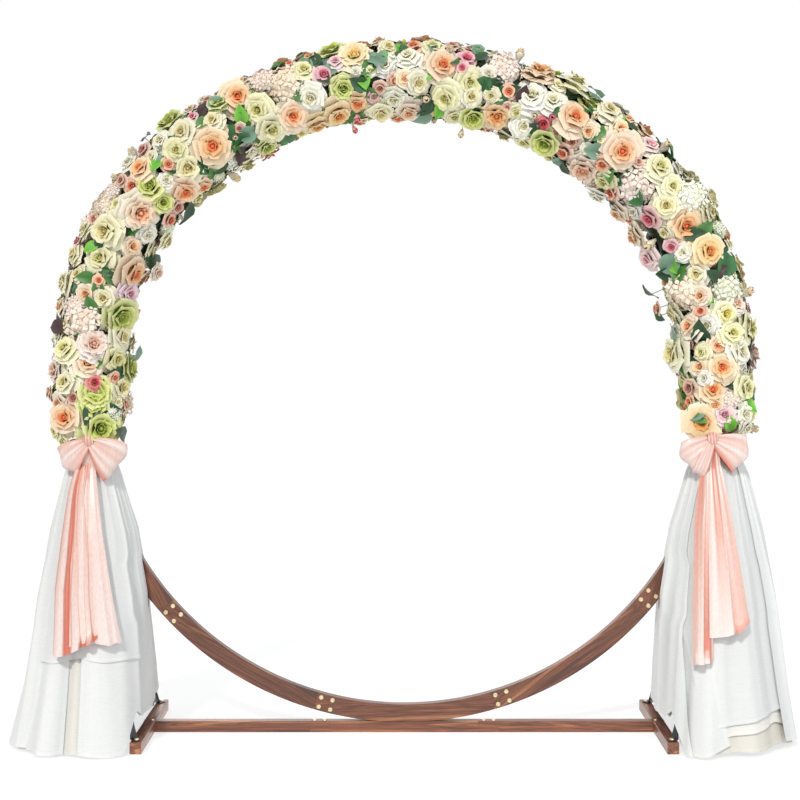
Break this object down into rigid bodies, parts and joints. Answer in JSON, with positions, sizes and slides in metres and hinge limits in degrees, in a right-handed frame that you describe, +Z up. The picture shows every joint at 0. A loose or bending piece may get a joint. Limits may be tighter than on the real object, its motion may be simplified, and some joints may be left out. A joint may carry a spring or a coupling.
{
  "type": "round wedding arch",
  "caption": "Round timber wedding arch on a low base, steadied by braces and dressed with a flower garland, tent-like drapes and satin bows.",
  "frame": {"origin": "centre of the base rail's underside, on the floor in the ring's middle plane", "axes": "+X to the arch's right seen from the front, -Y to the front, +Z up"},
  "size_m": [2.6158, 0.7191, 2.3493],
  "materials": {
    "ring_timber": "dark stained pine, satin",
    "base_timber": "dark stained pine, satin",
    "brace_steel": "black enamel, semi-gloss",
    "bolt_metal": "yellow zinc, worn",
    "flowers": "matte silk petals in cream, peach and pink",
    "leaves": "matte silk leaves",
    "drape_cloth": "soft white voile in layers",
    "sash_satin": "salmon pink satin"
  },
  "bodies": {
    "root": {"ring_segment_01": "ring_timber", "ring_segment_02": "ring_timber", "ring_segment_03": "ring_timber", "ring_segment_04": "ring_timber", "ring_segment_05": "ring_timber", "ring_segment_06": "ring_timber", "ring_segment_07": "ring_timber", "ring_segment_08": "ring_timber", "ring_segment_09": "ring_timber", "ring_segment_10": "ring_timber", "ring_segment_11": "ring_timber", "base_rail_middle": "base_timber", "base_rail_left": "base_timber", "base_rail_right": "base_timber", "cross_foot_left": "base_timber", "cross_foot_right": "base_timber", "brace_left_front": "brace_steel", "brace_left_rear": "brace_steel", "brace_right_front": "brace_steel", "brace_right_rear": "brace_steel", "garland_section_01": "flowers", "garland_section_02": "flowers", "garland_section_03": "flowers", "garland_section_04": "flowers", "garland_section_05": "flowers", "garland_section_06": "flowers", "garland_section_07": "flowers", "garland_section_08": "flowers", "drape_left_front": "drape_cloth", "drape_left_rear": "drape_cloth", "drape_right_front": "drape_cloth", "drape_right_rear": "drape_cloth", "sash_band_left": "sash_satin", "sash_band_right": "sash_satin", "sash_bow_left": "sash_satin", "sash_bow_right": "sash_satin", "sash_tails_left": "sash_satin", "sash_tails_right": "sash_satin"}
  },
  "joints": []
}
